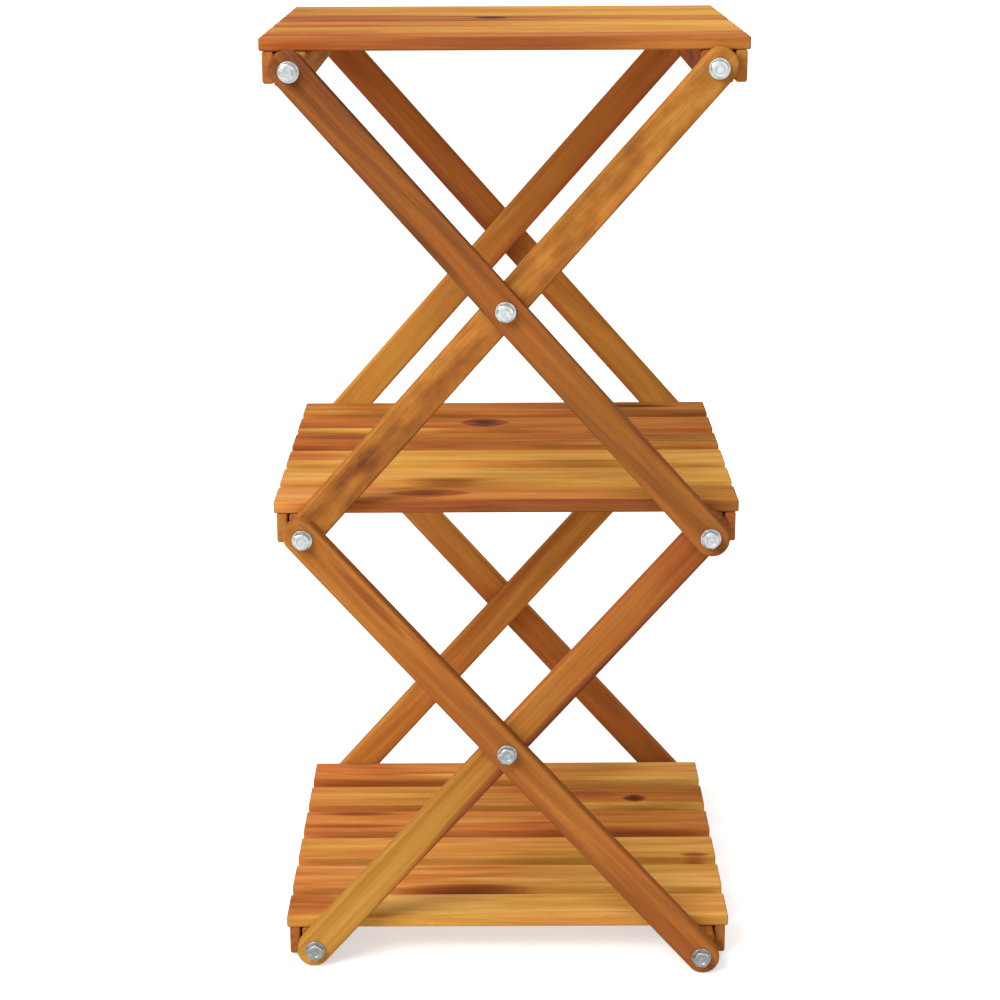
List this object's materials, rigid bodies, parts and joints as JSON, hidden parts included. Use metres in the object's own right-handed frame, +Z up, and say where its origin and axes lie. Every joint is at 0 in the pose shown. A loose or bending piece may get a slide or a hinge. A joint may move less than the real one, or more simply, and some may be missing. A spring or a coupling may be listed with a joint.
{
  "type": "folding plant stand",
  "caption": "Folding three-tier plant stand with loose slatted shelves on crossed wooden arms that pivot on hexagon-head screws.",
  "frame": {"origin": "centre of the footprint on the floor, midway between left and right and between front and back", "axes": "+Z up, X along the slats with the left side at -X, +Y from the front to the back"},
  "size_m": [0.38, 0.4172, 0.7827],
  "materials": {
    "arm_wood": "oiled, satin",
    "rail_wood": "oiled, satin",
    "slat_wood": "oiled, satin",
    "batten_wood": "oiled, satin",
    "zinc_steel": "bright zinc plate",
    "insert_brass": "turned"
  },
  "bodies": {
    "bottom_left_rail": {"rail_bottom_left": "rail_wood", "pivot_screw_bottom_left_front": "zinc_steel", "pivot_screw_bottom_left_back": "zinc_steel"},
    "bottom_right_rail": {"rail_bottom_right": "rail_wood", "pivot_screw_bottom_right_front": "zinc_steel", "pivot_screw_bottom_right_back": "zinc_steel"},
    "middle_left_rail": {"rail_middle_left": "rail_wood", "pivot_screw_middle_left_front": "zinc_steel", "pivot_screw_middle_left_back": "zinc_steel"},
    "middle_right_rail": {"rail_middle_right": "rail_wood", "pivot_screw_middle_right_front": "zinc_steel", "pivot_screw_middle_right_back": "zinc_steel"},
    "top_left_rail": {"rail_top_left": "rail_wood", "pivot_screw_top_left_front": "zinc_steel", "pivot_screw_top_left_back": "zinc_steel"},
    "top_right_rail": {"rail_top_right": "rail_wood", "pivot_screw_top_right_front": "zinc_steel", "pivot_screw_top_right_back": "zinc_steel"},
    "lower_inner_arms": {"lower_inner_arm_front": "arm_wood", "lower_inner_arm_back": "arm_wood", "lower_crossing_bolt_front": "zinc_steel", "lower_crossing_bolt_back": "zinc_steel", "lower_threaded_insert_front": "insert_brass", "lower_threaded_insert_back": "insert_brass"},
    "lower_outer_arms": {"lower_outer_arm_front": "arm_wood", "lower_outer_arm_back": "arm_wood"},
    "upper_inner_arms": {"upper_inner_arm_front": "arm_wood", "upper_inner_arm_back": "arm_wood", "upper_crossing_bolt_front": "zinc_steel", "upper_crossing_bolt_back": "zinc_steel", "upper_threaded_insert_front": "insert_brass", "upper_threaded_insert_back": "insert_brass"},
    "upper_outer_arms": {"upper_outer_arm_front": "arm_wood", "upper_outer_arm_back": "arm_wood"},
    "bottom_shelf": {"bottom_shelf_slat_1": "slat_wood", "bottom_shelf_slat_2": "slat_wood", "bottom_shelf_slat_3": "slat_wood", "bottom_shelf_slat_4": "slat_wood", "bottom_shelf_slat_5": "slat_wood", "bottom_shelf_slat_6": "slat_wood", "bottom_shelf_batten_left": "batten_wood", "bottom_shelf_batten_right": "batten_wood"},
    "middle_shelf": {"middle_shelf_slat_1": "slat_wood", "middle_shelf_slat_2": "slat_wood", "middle_shelf_slat_3": "slat_wood", "middle_shelf_slat_4": "slat_wood", "middle_shelf_slat_5": "slat_wood", "middle_shelf_slat_6": "slat_wood", "middle_shelf_batten_left": "batten_wood", "middle_shelf_batten_right": "batten_wood"},
    "top_shelf": {"top_shelf_slat_1": "slat_wood", "top_shelf_slat_2": "slat_wood", "top_shelf_slat_3": "slat_wood", "top_shelf_slat_4": "slat_wood", "top_shelf_slat_5": "slat_wood", "top_shelf_slat_6": "slat_wood", "top_shelf_batten_left": "batten_wood", "top_shelf_batten_right": "batten_wood"}
  },
  "joints": [
    {"name": "fold", "type": "hinge", "parent": "bottom_left_rail", "child": "lower_inner_arms", "pos_m": [-0.1645, 0, 0.01587], "axis": [0, -1, 0], "range_deg": [0, 37.5]},
    {"name": "lower_crossing", "type": "hinge", "parent": "lower_inner_arms", "child": "lower_outer_arms", "pos_m": [0, 0, 0.20177], "axis": [0, -1, 0], "range_deg": [-75, 0]},
    {"name": "bottom_right_pivot", "type": "hinge", "parent": "lower_outer_arms", "child": "bottom_right_rail", "pos_m": [0.1645, 0, 0.01587], "axis": [0, -1, 0], "range_deg": [0, 37.5]},
    {"name": "middle_left_pivot", "type": "hinge", "parent": "lower_outer_arms", "child": "middle_left_rail", "pos_m": [-0.1645, 0, 0.38767], "axis": [0, -1, 0], "range_deg": [0, 37.5]},
    {"name": "middle_right_pivot", "type": "hinge", "parent": "lower_inner_arms", "child": "middle_right_rail", "pos_m": [0.1645, 0, 0.38767], "axis": [0, -1, 0], "range_deg": [-37.5, 0]},
    {"name": "upper_fold", "type": "hinge", "parent": "middle_left_rail", "child": "upper_inner_arms", "pos_m": [-0.1645, 0, 0.38767], "axis": [0, -1, 0], "range_deg": [0, 37.5]},
    {"name": "upper_crossing", "type": "hinge", "parent": "upper_inner_arms", "child": "upper_outer_arms", "pos_m": [0, 0, 0.57357], "axis": [0, -1, 0], "range_deg": [-75, 0]},
    {"name": "top_left_pivot", "type": "hinge", "parent": "upper_outer_arms", "child": "top_left_rail", "pos_m": [-0.1645, 0, 0.75947], "axis": [0, -1, 0], "range_deg": [0, 37.5]},
    {"name": "top_right_pivot", "type": "hinge", "parent": "upper_inner_arms", "child": "top_right_rail", "pos_m": [0.1645, 0, 0.75947], "axis": [0, -1, 0], "range_deg": [-37.5, 0]},
    {"name": "bottom_shelf_lift", "type": "slide", "parent": "bottom_left_rail", "child": "bottom_shelf", "axis": [0, 0, 1], "range_m": [0, 0.06]},
    {"name": "middle_shelf_lift", "type": "slide", "parent": "middle_left_rail", "child": "middle_shelf", "axis": [0, 0, 1], "range_m": [0, 0.06]},
    {"name": "top_shelf_lift", "type": "slide", "parent": "top_left_rail", "child": "top_shelf", "axis": [0, 0, 1], "range_m": [0, 0.06]}
  ],
  "couplings": [
    {"joint": "lower_crossing", "follows": "fold", "ratio": -2},
    {"joint": "bottom_right_pivot", "follows": "fold", "ratio": 1},
    {"joint": "middle_left_pivot", "follows": "fold", "ratio": 1},
    {"joint": "middle_right_pivot", "follows": "fold", "ratio": -1},
    {"joint": "upper_fold", "follows": "fold", "ratio": 1},
    {"joint": "upper_crossing", "follows": "fold", "ratio": -2},
    {"joint": "top_left_pivot", "follows": "fold", "ratio": 1},
    {"joint": "top_right_pivot", "follows": "fold", "ratio": -1}
  ]
}
